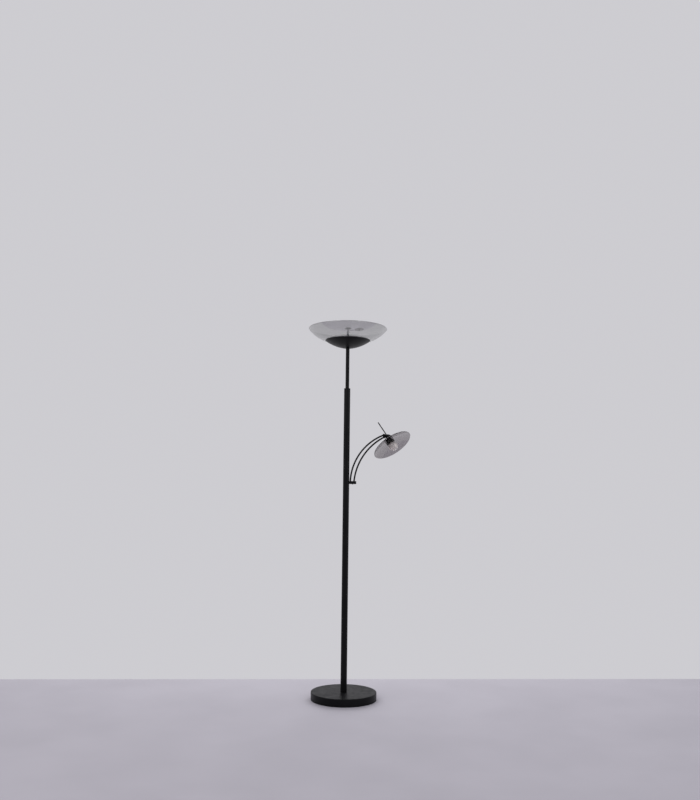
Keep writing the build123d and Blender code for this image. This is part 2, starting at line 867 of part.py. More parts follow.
arm_tube_bore = arm_tube_radius - arm_tube_wall
outer_tube_end = (outer_tube_reach, hinge_height + outer_tube_above_hinge)
inner_tube_end = (inner_tube_reach, hinge_height - inner_tube_below_hinge)
arm_routes = {
    "outer_arm_tube": (outer_tube_foot, outer_tube_end, outer_tube_bow),
    "inner_arm_tube": (inner_tube_foot, inner_tube_end, inner_tube_bow),
}
tube_seat = sleeve_radius - tube_seat_in_sleeve
for name, (foot, end, bow) in arm_routes.items():
    with BuildPart() as piece:
        add(arm_tube(foot, end, bow, arm_tube_radius, arm_tube_bore).part)
        with BuildSketch(Plane.YZ):
            with Locations((0, sleeve_height)):
                Circle(tube_seat)
        extrude(amount=sleeve_end, mode=Mode.SUBTRACT)
    pieces[name] = piece

with BuildPart() as arm_wire:
    add(arm_tube(*arm_routes["inner_arm_tube"], reading_lead_radius, 0).part)
    with BuildSketch(Plane.YZ):
        with Locations((0, sleeve_height)):
            Circle(tube_seat)
    extrude(amount=sleeve_end, mode=Mode.SUBTRACT)
pieces["arm_wire"] = arm_wire

with BuildPart() as arm_sleeve:
    with BuildSketch(Plane.YZ.offset(sleeve_start)):
        with Locations((0, sleeve_height)):
            Circle(sleeve_radius)
    extrude(amount=sleeve_end - sleeve_start)
    fillet(arm_sleeve.edges().group_by(Axis.X)[-1], sleeve_end_round)
    with BuildSketch(Plane.YZ.offset(sleeve_start)):
        with Locations((0, sleeve_height)):
            Circle(spindle_radius + running_clearance)
    extrude(amount=sleeve_end - sleeve_blind_wall - sleeve_start, mode=Mode.SUBTRACT)
    for foot, end, bow in arm_routes.values():
        add(arm_tube(foot, end, bow, arm_tube_radius, 0).part, mode=Mode.SUBTRACT)
    # the two seats stop short of the bore, on a round face
    with BuildSketch(Plane.YZ.offset(sleeve_start)):
        with Locations((0, sleeve_height)):
            Circle(tube_seat)
            Circle(spindle_radius + running_clearance, mode=Mode.SUBTRACT)
    extrude(amount=sleeve_end - sleeve_blind_wall - sleeve_start)
    with BuildSketch(Plane.YZ.offset(sleeve_start)):
        with Locations((0, sleeve_height)):
            Circle(saddle_radius + saddle_side_gap)
    extrude(amount=sleeve_seat - sleeve_start, mode=Mode.SUBTRACT)
    with BuildSketch(Plane.XY.offset(sleeve_height)):
        with Locations((inner_tube_foot, 0)):
            Circle(reading_lead_radius)
    extrude(amount=sleeve_radius, mode=Mode.SUBTRACT)
    with BuildSketch(Plane.XY.offset(sleeve_height)):
        with Locations((set_screw_offset, 0)):
            Circle(set_screw_radius + thread_clearance)
    extrude(amount=-sleeve_radius, mode=Mode.SUBTRACT)
pieces["arm_sleeve"] = arm_sleeve

set_screw_tip = sleeve_height - (spindle_radius - spindle_groove_depth + set_screw_tip_gap)
set_screw_bottom = sleeve_height - sleeve_radius - set_screw_stand_proud
with BuildPart() as sleeve_screw:
    with BuildSketch(Plane.XY.offset(set_screw_bottom)):
        with Locations((set_screw_offset, 0)):
            Circle(set_screw_radius)
    extrude(amount=set_screw_tip - set_screw_bottom)
pieces["sleeve_screw"] = sleeve_screw

swivel_pin_place = end_block_end - swivel_pin_depth
swivel_pin_height = hinge_height + swivel_radius - swivel_groove_depth + swivel_pin_radius
with BuildPart() as arm_end_block:
    with BuildSketch(Plane.YZ.offset(end_block_start)):
        with Locations((0, hinge_height + (end_block_above_hinge - end_block_below_hinge) / 2)):
            RectangleRounded(
                2 * end_block_half_width,
                end_block_above_hinge + end_block_below_hinge,
                2 * end_block_round,
            )
    extrude(amount=end_block_length)
    fillet(arm_end_block.edges().group_by(Axis.X)[-1], end_block_round)
    for foot, end, bow in arm_routes.values():
        add(arm_tube(foot, end, bow, arm_tube_radius, 0).part, mode=Mode.SUBTRACT)
    with BuildSketch(Plane.YZ.offset(end_block_end)):
        with Locations((0, hinge_height)):
            Circle(swivel_radius + running_clearance)
    extrude(amount=-(swivel_length + swivel_pin_gap), mode=Mode.SUBTRACT)
    with BuildSketch(Plane.XZ.offset(-swivel_pin_length / 2)):
        with Locations((swivel_pin_place, swivel_pin_height)):
            Circle(swivel_pin_radius)
    extrude(amount=swivel_pin_length, mode=Mode.SUBTRACT)
pieces["arm_end_block"] = arm_end_block

with BuildPart() as swivel_pin:
    with BuildSketch(Plane.XZ.offset(-swivel_pin_length / 2)):
        with Locations((swivel_pin_place, swivel_pin_height)):
            Circle(swivel_pin_radius)
    extrude(amount=swivel_pin_length)
pieces["swivel_pin"] = swivel_pin

# ---------------------------------------------------------------- knuckle

# nosed barrel that swivels in the end block and is slotted from below for the head's tongue
groove_half = swivel_pin_radius + swivel_pin_gap
slot_half = tongue_thickness / 2 + tongue_side_gap
slot_side = tongue_bar_half + tongue_slot_gap
slot_drop = 2 * barrel_radius
lean_plane = Plane(
    origin=hinge_point,
    x_dir=(
        knuckle_plane.x_dir * sin(radians(head_tilt - head_lean_out))
        + knuckle_plane.y_dir * cos(radians(head_tilt - head_lean_out))
    ),
    z_dir=knuckle_plane.z_dir,
)
with BuildPart() as knuckle_inner:
    with BuildSketch(Plane.XZ):
        with BuildLine():
            nose = (hinge_offset + barrel_far, hinge_height + barrel_nose_radius)
            Polyline(
                (nose[0], hinge_height),
                (barrel_start, hinge_height),
                (barrel_start, hinge_height + barrel_radius),
                (hinge_offset + barrel_shoulder, hinge_height + barrel_radius),
            )
            TangentArc(
                (hinge_offset + barrel_shoulder, hinge_height + barrel_radius), nose, tangent=(1, 0)
            )
            Line(nose, (nose[0], hinge_height))
        make_face()
    revolve(axis=Axis(hinge_point, (1, 0, 0)))
    fillet(knuckle_inner.edges().group_by(Axis.X)[0], barrel_edge_round)
    with BuildSketch(Plane.YZ.offset(barrel_start)):
        with Locations((0, hinge_height)):
            Circle(swivel_radius)
    extrude(amount=-(knuckle_face_gap + swivel_length))
    with BuildSketch(Plane.YZ.offset(swivel_pin_place - groove_half)):
        with Locations((0, hinge_height)):
            Circle(swivel_radius)
            Circle(swivel_radius - swivel_groove_depth - swivel_pin_gap, mode=Mode.SUBTRACT)
    extrude(amount=2 * groove_half, mode=Mode.SUBTRACT)
    # slot for the tongue, from straight down to where the head leans out most
    with BuildSketch(knuckle_plane.offset(-slot_half)):
        Circle(tongue_radius + tongue_side_gap)
        Rectangle(2 * slot_side, slot_drop, align=(Align.CENTER, Align.MAX))
    extrude(amount=2 * slot_half, mode=Mode.SUBTRACT)
    with BuildSketch(lean_plane.offset(-slot_half)):
        Rectangle(2 * slot_side, slot_drop, align=(Align.CENTER, Align.MAX))
        Rectangle(slot_side, slot_drop, align=(Align.MAX, Align.MAX))
    extrude(amount=2 * slot_half, mode=Mode.SUBTRACT)
    # flat under the nose that makes room for the lampholder's cap
    with BuildSketch(lean_plane.offset(-barrel_radius)):
        with Locations((0, barrel_relief_gap - holder_cap_start)):
            Rectangle(4 * barrel_far, barrel_far, align=(Align.CENTER, Align.MAX))
    extrude(amount=2 * barrel_radius, mode=Mode.SUBTRACT)
    with BuildSketch(knuckle_plane.offset(-barrel_radius)):
        Circle(tilt_screw_radius + press_clearance)
    extrude(amount=2 * barrel_radius, mode=Mode.SUBTRACT)
    with BuildSketch(knuckle_plane.offset(tilt_screw_head_seat)):
        Circle(tilt_screw_head_radius + tongue_side_gap)
    extrude(amount=barrel_radius, mode=Mode.SUBTRACT)
    with BuildSketch(knuckle_plane.offset(-tilt_nut_seat)):
        Circle(tilt_nut_pocket_radius)
    extrude(amount=-barrel_radius, mode=Mode.SUBTRACT)
pieces["knuckle_inner"] = knuckle_inner

with BuildPart() as tilt_screw:
    with BuildSketch(knuckle_plane.offset(tilt_screw_head_seat)):
        Circle(tilt_screw_head_radius)
    extrude(amount=tilt_screw_head_height)
    with BuildSketch(knuckle_plane.offset(tilt_screw_head_seat + tilt_screw_head_height)):
        RegularPolygon(tilt_screw_socket, 6, major_radius=False)
    extrude(amount=-tilt_screw_socket_depth, mode=Mode.SUBTRACT)
    with BuildSketch(knuckle_plane.offset(tilt_screw_head_seat)):
        Circle(tilt_screw_radius)
    extrude(amount=-(tilt_screw_head_seat + tilt_nut_seat + tilt_nut_thickness + tilt_screw_tail))
pieces["tilt_screw"] = tilt_screw

pieces["tilt_nut"] = hex_nut(
    knuckle_plane.offset(-tilt_nut_seat - tilt_nut_thickness),
    tilt_nut_across_flats,
    tilt_screw_radius + thread_clearance,
    tilt_nut_thickness,
)

# ---------------------------------------------------------------- head

# tongue of the head, a disc on the tilt screw and a bar down to the lampholder's cap
with BuildPart() as knuckle_outer:
    with BuildSketch(head_plane.offset(-tongue_thickness / 2)):
        Circle(tongue_radius)
        Rectangle(2 * tongue_bar_half, holder_cap_start, align=(Align.CENTER, Align.MIN))
    extrude(amount=tongue_thickness)
    with BuildSketch(head_plane.offset(-tongue_thickness / 2)):
        Circle(tilt_screw_radius + running_clearance)
    extrude(amount=tongue_thickness, mode=Mode.SUBTRACT)
pieces["knuckle_outer"] = knuckle_outer

# rod for aiming the head, fixed in the back of the cap beside the barrel
handle_plane = head_plane.offset(barrel_radius + handle_barrel_gap + handle_radius)
handle_axis = Axis(handle_plane.origin, head_plane.y_dir)
handle_foot = holder_cap_start + holder_cap_wall
with BuildPart() as aiming_handle:
    with BuildSketch(handle_plane):
        with BuildLine():
            tip_start = (handle_radius, -handle_tip + handle_radius)
            Polyline((0, -handle_tip), (0, handle_foot), (handle_radius, handle_foot), tip_start)
            RadiusArc(tip_start, (0, -handle_tip), handle_radius)
        make_face()
    revolve(axis=handle_axis)
pieces["aiming_handle"] = aiming_handle


def head_turned(profile):
    """A piece turned about the head's axis, from (radius, distance from the tilt screw) points."""
    return turned(profile, head_plane, head_axis)


with BuildPart() as lampholder_cap:
    add(
        head_turned(
            (
                (0, holder_cap_start),
                (holder_cap_radius, holder_cap_start),
                (holder_cap_radius, holder_cap_end),
                (0, holder_cap_end),
            )
        ).part
    )
    fillet(lampholder_cap.edges().sort_by(head_axis)[0], holder_cap_round)
    add(
        head_turned(
            (
                (0, holder_cap_start + holder_cap_wall),
                (holder_cap_radius - holder_cap_wall, holder_cap_start + holder_cap_wall),
                (holder_cap_radius - holder_cap_wall, holder_cap_end),
                (0, holder_cap_end),
            )
        ).part,
        mode=Mode.SUBTRACT,
    )
    with BuildSketch(Plane(handle_plane.origin, z_dir=head_plane.y_dir)):
        Circle(handle_radius + press_clearance)
    extrude(amount=handle_foot, mode=Mode.SUBTRACT)
pieces["lampholder_cap"] = lampholder_cap

holder_start = holder_cap_start + holder_cap_wall
holder_inside = bulb_tip_start
pieces["lampholder_body"] = head_turned(
    (
        (0, holder_start),
        (holder_radius, holder_start),
        (holder_radius, holder_end),
        (holder_bore_radius, holder_end),
        (holder_bore_radius, holder_start + holder_floor),
        (0, holder_start + holder_floor),
    )
)
shell_outer = holder_bore_radius - press_clearance
shell_inner = shell_outer - contact_wall
with BuildPart() as lampholder_contact:
    add(
        head_turned(
            (
                (0, holder_start + holder_floor),
                (contact_tongue_radius, holder_start + holder_floor),
                (contact_tongue_radius, holder_inside),
                (0, holder_inside),
            )
        ).part
    )
    shell_start = holder_inside + contact_start
    add(
        head_turned(
            (
                (shell_inner, shell_start),
                (shell_outer, shell_start),
                (shell_outer, shell_start + contact_length),
                (shell_inner, shell_start + contact_length),
            )
        ).part
    )
pieces["lampholder_contact"] = lampholder_contact

# the shade hangs between the cap's rim and the threaded ring
shade_back = holder_cap_end
shade_front = shade_back + shade_wall
shade_hole = holder_radius + shade_neck_clearance
# the arc bulges away from the opening, so its centre lies on the opening's side
shade_rim = (shade_radius - shade_wall / 2, shade_rim_distance - shade_wall / 2)
shade_middle_radius = shade_curve_radius - shade_wall / 2
shade_bend = arc_centre(
    (shade_flat_radius, shade_back), shade_curve_radius, shade_rim, shade_middle_radius
)


def shade_section():
    """Section of the reading shade: flat neck, one arc and a rounded rim, as (radius, distance)."""
    start = degrees(asin((shade_flat_radius - shade_bend[0]) / shade_curve_radius))
    end = degrees(asin((shade_rim[0] - shade_bend[0]) / shade_middle_radius))
    half = (start + end) / 2
    inner = shade_curve_radius - shade_wall
    outer_start, outer_half, outer_end = (
        on_arc(shade_bend, shade_curve_radius, angle) for angle in (start, half, end)
    )
    inner_start, inner_half, inner_end = (on_arc(shade_bend, inner, angle) for angle in (start, half, end))
    tip = (
        shade_rim[0] + shade_wall / 2 * cos(radians(end)),
        shade_rim[1] + shade_wall / 2 * sin(radians(end)),
    )
    ThreePointArc(outer_start, outer_half, outer_end)
    ThreePointArc(outer_end, tip, inner_end)
    ThreePointArc(inner_end, inner_half, inner_start)
    Polyline(
        inner_start,
        (inner_start[0], shade_front),
        (shade_hole, shade_front),
        (shade_hole, shade_back),
        outer_start,
    )


with BuildPart() as reading_glass:
    with BuildSketch(head_plane):
        with BuildLine():
            shade_section()
        make_face()
    revolve(axis=head_axis)
pieces["reading_glass"] = reading_glass

with BuildPart() as shade_ring:
    add(
        head_turned(
            (
                (holder_radius + thread_clearance, shade_front),
                (ring_radius, shade_front),
                (ring_radius, shade_front + ring_height),
                (holder_radius + thread_clearance, shade_front + ring_height),
            )
        ).part
    )
    outer_edges = shade_ring.edges().filter_by(GeomType.CIRCLE).group_by(SortBy.RADIUS)[-1]
    fillet(outer_edges, ring_round)
    with BuildSketch(Plane(head_plane.origin + head_plane.y_dir * shade_front, z_dir=head_plane.y_dir)):
        with PolarLocations(ring_radius, ring_ribs):
            Circle(ring_rib_radius)
    extrude(amount=ring_height, mode=Mode.SUBTRACT)
pieces["shade_ring"] = shade_ring

# ---------------------------------------------------------------- bulb

bulb_cap_end = bulb_tip_start + bulb_cap_length
bulb_centre = bulb_cap_end + bulb_neck_length
bulb_cap_taper = bulb_tip_start + bulb_button_height
pieces["bulb_cap"] = head_turned(
    (
        (0, bulb_tip_start),
        (bulb_button_radius, bulb_tip_start),
        (bulb_button_radius, bulb_cap_taper),
        (bulb_cap_radius, bulb_cap_taper + bulb_taper),
        (bulb_cap_radius, bulb_cap_end),
        (0, bulb_cap_end),
    )
)


def bulb_outline(inset):
    """Half section of the bulb's glass, drawn in from its outside by an inset."""
    ball = bulb_radius - inset
    neck = bulb_cap_radius - inset
    shoulder = radians(bulb_shoulder_angle)
    start = (ball * sin(shoulder), bulb_centre - ball * cos(shoulder))
    waist = (
        neck + (start[0] - neck) * bulb_waist_spread,
        bulb_cap_end + (start[1] - bulb_cap_end) * bulb_waist_rise,
    )
    with BuildPart() as solid:
        with BuildSketch(head_plane):
            with BuildLine():
                ThreePointArc((neck, bulb_cap_end), waist, start)
                ThreePointArc(start, (ball, bulb_centre), (0, bulb_centre + ball))
                Polyline((0, bulb_centre + ball), (0, bulb_cap_end), (neck, bulb_cap_end))
            make_face()
        revolve(axis=head_axis)
    return solid.part


with BuildPart() as bulb_glass:
    add(bulb_outline(0))
    add(bulb_outline(bulb_glass_wall), mode=Mode.SUBTRACT)
pieces["bulb_glass"] = bulb_glass

mount_top = bulb_cap_end + bulb_mount_length
pieces["bulb_stem"] = head_turned(
    ((0, bulb_cap_end), (bulb_mount_radius, bulb_cap_end), (filament_foot_spread, mount_top), (0, mount_top))
)

# light-emitting sticks that stand on the glass mount and lean outwards
with BuildPart() as bulb_filament:
    filament_lean = asin((filament_top_spread - filament_foot_spread) / filament_length)
    stick_start = mount_top + filament_radius * sin(filament_lean)
    stick_origin = head_plane.origin + head_plane.y_dir * stick_start
    for index in range(filament_count):
        heading = 360 / filament_count * index
        outwards = head_plane.x_dir.rotate(head_axis, heading)
        foot = stick_origin + outwards * filament_foot_spread
        upwards = head_plane.y_dir * cos(filament_lean) + outwards * sin(filament_lean)
        with BuildSketch(Plane(foot, z_dir=upwards)):
            Circle(filament_radius)
        extrude(amount=filament_length)
pieces["bulb_filament"] = bulb_filament

# ---------------------------------------------------------------- files

os.makedirs("parts", exist_ok=True)
for name, piece in pieces.items():
    piece.part.label = name
    export_step(piece.part, f"parts/{name}.step")
print(len(pieces), "pieces")
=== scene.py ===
# %% [markdown]
# # Dressing a torchiere floor lamp
# The lamp arrives as a finished CAD model: a round foot, a slim pole, a dish of smoked glass that
# throws its light at the ceiling, and a small reading light on a bent arm.  This notebook gives it
# its looks.  New shapes could be modelled over the solids, but here the solids already have the
# lamp's own curves, so they stay as they are and each one gets a procedural material.

import bmesh
import bpy
import json
from math import radians
from mathutils import Matrix, Vector

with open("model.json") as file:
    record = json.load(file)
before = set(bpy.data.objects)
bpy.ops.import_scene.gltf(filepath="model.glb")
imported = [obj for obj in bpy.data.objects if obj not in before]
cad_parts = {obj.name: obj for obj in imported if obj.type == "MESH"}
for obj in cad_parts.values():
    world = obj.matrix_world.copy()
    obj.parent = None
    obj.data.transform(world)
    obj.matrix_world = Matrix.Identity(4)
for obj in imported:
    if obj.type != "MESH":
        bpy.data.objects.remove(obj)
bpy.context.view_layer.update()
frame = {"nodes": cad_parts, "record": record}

# %% [markdown]
# ## Units and colours
# Blender works in metres and in linear light, while a maker measures in millimetres and picks
# colours as sRGB hex values.  Both could be converted by hand for each number.  One factor and one
# small function do it here, so that every value below can be read off a drawing or a colour card.

# %% Units and colours
MM = 0.001


def linear(hex_colour):
    """An sRGB hex colour as linear RGBA."""
    channels = [int(hex_colour[i : i + 2], 16) / 255 for i in (0, 2, 4)]
    return [c / 12.92 if c <= 0.04045 else ((c + 0.055) / 1.055) ** 2.4 for c in channels] + [1.0]


print("mid grey 808080 is", round(linear("808080")[0], 3), "in linear light")

# %% [markdown]
# ## Building a material
# Every finish here is one Principled shader with a little procedural texture in front of it.  An
# image would need unwrapping and would blur up close, and noise needs neither.  Settings that are
# the same all over, such as the metallic share, go straight on the shader.  What varies, such as a
# speckle in the paint or a fine bump, comes from noise that reads Object coordinates, so a pattern
# has a size in millimetres and stays on its piece as the piece moves.

# %% Nodes and shaders


def node(tree, kind, settings=(), **links):
    """Add a shader node, set its properties and inputs, and link the inputs given as sockets."""
    made = tree.nodes.new(kind)
    for name, value in dict(settings).items():
        if name in made.inputs:
            made.inputs[name].default_value = value
        else:
            setattr(made, name, value)
    for name, source in links.items():
        tree.links.new(source, made.inputs[name.replace("_", " ")])
    return made


def start_material(name, **constants):
    """A new material with its Principled shader set up; returns the material, tree and shader."""
    made = bpy.data.materials.new(name)
    made.use_nodes = True
    tree = made.node_tree
    shader = tree.nodes["Principled BSDF"]
    for socket, value in constants.items():
        shader.inputs[socket.replace("_", " ")].default_value = value
    return made, tree, shader


print("two helpers ready: node and start_material")

# %% [markdown]
# ## Grain, and what it drives
# A real surface is never even.  Paint pools, metal is polished in streaks, and moulded plastic
# takes the texture of its tool.  One noise of a chosen size stands for all of these.  It can tint
# the colour, change the roughness or raise a bump.  Noise values crowd around a half, so colour
# and roughness stretch the middle of their range to its full effect.

# %% Grain helpers
TINT_FROM, TINT_TO = 0.35, 0.65  # the noise values that give the darker and the lighter colour
ROUGH_FROM, ROUGH_TO = 0.3, 0.7  # the noise values that give the lowest and highest roughness


def grain_noise(tree, size_mm, detail=2.0):
    """Noise whose blobs are about size_mm across, on Object coordinates."""
    place = node(tree, "ShaderNodeTexCoord")
    settings = {"Scale": 1 / (size_mm * MM), "Detail": detail}
    return node(tree, "ShaderNodeTexNoise", settings, Vector=place.outputs["Object"])


def vary_colour(tree, shader, source, dark, light):
    """Drive the base colour between two hex colours by a noise."""
    ramp = node(tree, "ShaderNodeValToRGB", Fac=source.outputs["Fac"])
    first, last = ramp.color_ramp.elements
    first.position, last.position = TINT_FROM, TINT_TO
    first.color, last.color = linear(dark), linear(light)
    tree.links.new(ramp.outputs["Color"], shader.inputs["Base Color"])


def vary_roughness(tree, shader, source, low, high):
    """Drive the roughness between two values by a noise."""
    settings = {"From Min": ROUGH_FROM, "From Max": ROUGH_TO, "To Min": low, "To Max": high}
    spread = node(tree, "ShaderNodeMapRange", settings, Value=source.outputs["Fac"])
    tree.links.new(spread.outputs["Result"], shader.inputs["Roughness"])


def bumpy(tree, shader, source, height_mm, strength=1.0):
    """Turn a noise into a fine bump of a given height."""
    settings = {"Strength": strength, "Distance": height_mm * MM}
    bump = node(tree, "ShaderNodeBump", settings, Height=source.outputs["Fac"])
    tree.links.new(bump.outputs["Normal"], shader.inputs["Normal"])


print("four grain helpers ready")

# %% [markdown]
# ## Black powder coat
# Pole, foot, cup and arm are steel with a satin black powder coat.  The powder melts into a skin
# with a very fine orange peel, which breaks up a highlight without hiding it.  The peel could be
# left out of the full view, where a pixel covers about 5 mm and hides it.  It is drawn at 2 mm
# all the same, for views from close up.  Broad clouds of 60 mm and 25 mm keep the long tubes from
# looking like one flat colour.

# %% Black powder coat
COAT_DARK, COAT_LIGHT = "08080A", "0E0E10"
COAT_SHINE = 0.12  # paint is nearer 0.5: lowered by trial until the tubes looked dark enough
CLOUD_MM, SHEEN_MM, PEEL_MM = 60.0, 25.0, 2.0
PEEL_HEIGHT_MM, PEEL_STRENGTH = 0.02, 0.5


def powder_coat(name, roughness):
    """Black powder coat with cloudy colour, uneven sheen and orange peel."""
    made, tree, shader = start_material(name, Specular_IOR_Level=COAT_SHINE)
    vary_colour(tree, shader, grain_noise(tree, CLOUD_MM, detail=3.0), COAT_DARK, COAT_LIGHT)
    vary_roughness(tree, shader, grain_noise(tree, SHEEN_MM), *roughness)
    bumpy(tree, shader, grain_noise(tree, PEEL_MM, detail=4.0), PEEL_HEIGHT_MM, PEEL_STRENGTH)
    return made


# tubes, cup and arm: a narrow, soft streak of light runs down each round
satin_black = powder_coat("powder_coated_steel_satin_black", (0.34, 0.42))
# the foot: a shade duller, so its flat top goes an even dark grey under the light
base_black = powder_coat("powder_coated_base_satin_black", (0.36, 0.46))
print("powder coats:", satin_black.name, base_black.name)

# %% [markdown]
# ## Smoked mirror glass
# The dish and the reading shade are taken to be bent glass with a thin grey mirror film.  A quarter
# to a third of the light bounces off it, and the rest goes through, dimmed.  A mirror and a glass
# shader could be mixed for this.  The Principled shader does it by itself, and in a way that
# exports: its metallic share is the mirror, and its transmission works on what is left.

# %% Smoked mirror glass
GLASS_IOR = 1.5
FILM_CLOUD_MM = 120.0  # the film thins and thickens slowly over the whole dish


def smoked_glass(name, dark, light, mirror_share):
    """Glass with a part-mirror film, faintly uneven in its grey."""
    made, tree, shader = start_material(
        name, Metallic=mirror_share, Transmission_Weight=1.0, IOR=GLASS_IOR, Roughness=0.0
    )
    vary_colour(tree, shader, grain_noise(tree, FILM_CLOUD_MM, detail=1.0), dark, light)
    return made


# the dish: a neutral grey veil through which the black cup's edge and the stem stay clear
bowl_glass_finish = smoked_glass("smoked_mirror_glass_bowl", "D0D0D0", "D6D6D6", 0.35)
# the reading shade: darker and a touch purple, so the bulb stands out pale against it
shade_glass_finish = smoked_glass("smoked_mirror_glass_shade", "AFABAD", "B6B2B4", 0.25)
print("smoked glass:", bowl_glass_finish.name, shade_glass_finish.name)

# %% [markdown]
# ## One recipe for the plain finishes
# Behind the paint and the glass sit ordinary trade materials.  Each could have a node tree of its
# own, but they differ only in colour pair, roughness range, grain size and a few constants, so
# one function makes them all.  A dark and a light colour over one grain give the slight
# unevenness of a real part, and the same grain moves the roughness, as handling and moulding do.

# %% Plain finish


def finish_of(name, dark, light, roughness, grain_mm, bump_mm=0.0, **constants):
    """A finish: two colours and a roughness range over one grain, with an optional bump."""
    made, tree, shader = start_material(name, **constants)
    grain = grain_noise(tree, grain_mm, detail=3.0)
    vary_colour(tree, shader, grain, dark, light)
    vary_roughness(tree, shader, grain, *roughness)
    if bump_mm:
        bumpy(tree, shader, grain, bump_mm)
    return made


print("plain finish ready")

# %% [markdown]
# ## Bare and plated metals
# Studs, nuts, couplers, plate and contacts are metal without paint.  A metal only mirrors what is
# around it, with a tint, so each one is fully metallic and its base colour is the tint.  Black
# oxide and cast iron are the exceptions: a dull skin covers them, so they are metallic in part.

# %% Metals
# bright zinc: bluish white and faintly milky
zinc = finish_of("zinc_plated_steel", "B9BBC0", "D2D4D8", (0.25, 0.4), 4.0, Metallic=1.0)
# black oxide: an oily near-black that still glints on an edge
black_oxide = finish_of("black_oxide_steel", "0D0D0E", "1A1A1B", (0.3, 0.45), 2.0, Metallic=0.6)
# cast iron: dull grey with the sand's own bumps, about 3 mm apart
iron = finish_of("cast_iron", "2C2C2E", "454548", (0.6, 0.85), 3.0, 0.15, Metallic=0.4)
# mill aluminium: soft and silvery, clouded from the rolls
plate_metal = finish_of("mill_aluminium", "BDBFC3", "D5D7DA", (0.25, 0.4), 6.0, Metallic=1.0)
# bare brass: warm yellow with a thin tarnish in patches
brass = finish_of("bare_brass", "B8923F", "D0AC5C", (0.25, 0.35), 3.0, Metallic=1.0)
# nickel on brass: a smooth, slightly yellow grey
nickel = finish_of("nickelled_brass", "A9A59C", "C6C3BB", (0.2, 0.3), 3.0, Metallic=1.0)
metals = (zinc, black_oxide, iron, plate_metal, brass, nickel)
print(len(metals), "metals:", ", ".join(made.name for made in metals))

# %% [markdown]
# ## Rubber, plastics and paint
# The pad, the seals, the lampholder and the light module are moulded or painted parts.  They
# don't mirror like metal: a dim, wide highlight shows how smooth the tool was.  The grain could be
# left at one size, but foam has small cells where acrylic sheet has only broad, faint clouds, so
# each has its own.

# %% Rubber, plastics and paint
# foam rubber: dead matt, with open cells of a millimetre or so
rubber = finish_of("black_foam_rubber", "0C0C0D", "17171A", (0.75, 0.9), 1.5, 0.05)
# silicone: grey and waxy, with a broad soft shine
silicone = finish_of("grey_silicone", "7C7C7E", "8C8C8F", (0.5, 0.6), 4.0)
# opal acrylic: light sinks in a little, which gives the milky depth of a diffuser
opal = finish_of("opal_acrylic", "E4E2DC", "F1EFEA", (0.35, 0.45), 30.0, Subsurface_Weight=0.2)
# white powder coat: clean matt white around the diffuser
white_paint = finish_of("white_powder_coat", "DADAD8", "E8E8E6", (0.45, 0.55), 10.0)
# phenolic: hard brownish black, the old lampholder plastic
phenolic = finish_of("black_phenolic_plastic", "0E0D0D", "191717", (0.38, 0.5), 3.0, 0.01)
# ABS case: an even white with a faint spark-eroded texture
white_case = finish_of("white_abs_case", "DCDCDA", "E9E9E7", (0.4, 0.5), 3.0, 0.02)
# solder mask: white lacquer, glossier than the case beside it
board_mask = finish_of("white_solder_mask", "E2E2DE", "F0F0EC", (0.25, 0.35), 8.0)
# phosphor gel: the wet-looking yellow spot on each light source
phosphor = finish_of("yellow_phosphor_gel", "D9A93A", "EBC257", (0.2, 0.3), 1.0)
# PVC sheath: smooth black with a dull sheen along the cable
pvc = finish_of("black_pvc_sheath", "101011", "1B1B1D", (0.4, 0.5), 3.0, 0.01)
plastics = (rubber, silicone, opal, white_paint, phenolic, white_case, board_mask, phosphor, pvc)
print(len(plastics), "plastics, rubbers and paints")

# %% [markdown]
# ## Reading bulb
# The bulb is a small round one with threads on a glass stem.  Clear glass alone would show only a
# hairline ring here, while the real bulb reads as a pale, warm ball with brownish threads inside.
# What the real one is coated with isn't known, so a thin white coat stands for it.  How much goes
# through it was found by trial: at 0.25 the ball is too pale on the whole and at 0.74 too dark.  At
# 0.55 its mean brightness is right, though single spots differ and the threads show only faintly.

# %% Reading bulb
# clear soda glass for the stem inside: nearly invisible except at its edges
clear_glass = finish_of(
    "clear_soda_glass",
    "F6F6F6",
    "FFFFFF",
    (0.0, 0.02),
    30.0,
    Transmission_Weight=1.0,
    IOR=GLASS_IOR,
)
# the coated envelope: a pinkish white ball that lets its threads show faintly
bulb_envelope = finish_of(
    "silica_coated_bulb_glass",
    "F8F2EE",
    "FFFAF7",
    (0.0, 0.02),
    30.0,
    Transmission_Weight=0.55,
    IOR=GLASS_IOR,
)
# the threads: brown-orange phosphor, mottled at less than a millimetre
filament_coat = finish_of("filament_phosphor", "7A4A1E", "9C6A34", (0.4, 0.5), 0.8)
print("bulb:", clear_glass.name, bulb_envelope.name, filament_coat.name)

# %% [markdown]
# ## Dressing the CAD nodes
# Each CAD node carries the material slot that its drawing gave it.  The nodes could be dressed one
# by one, but a table that sends every slot to its finish can't forget any.  Three pieces then get
# a finish of their own: the reading shade is darker than the dish, the foot duller than the pole,
# and the bulb coated where its stem is clear.

# %% Finish for each slot
finish_by_slot = {
    "satin_black_steel": satin_black,
    "zinc_steel": zinc,
    "black_screw_steel": black_oxide,
    "cast_iron": iron,
    "black_rubber": rubber,
    "grey_silicone": silicone,
    "smoked_glass": bowl_glass_finish,
    "clear_glass": clear_glass,
    "plate_aluminium": plate_metal,
    "opal_plastic": opal,
    "white_ring": white_paint,
    "black_phenolic": phenolic,
    "white_driver_case": white_case,
    "board_white": board_mask,
    "led_phosphor": phosphor,
    "cable_sheath": pvc,
    "contact_brass": brass,
    "nickel_cap": nickel,
    "filament_phosphor": filament_coat,
}
finish_by_node = {
    "reading_glass": shade_glass_finish,
    "base_cover": base_black,
    "bulb_glass": bulb_envelope,
}
print(len(finish_by_slot), "slots and", len(finish_by_node), "single nodes have a finish")

# %% Dress the nodes


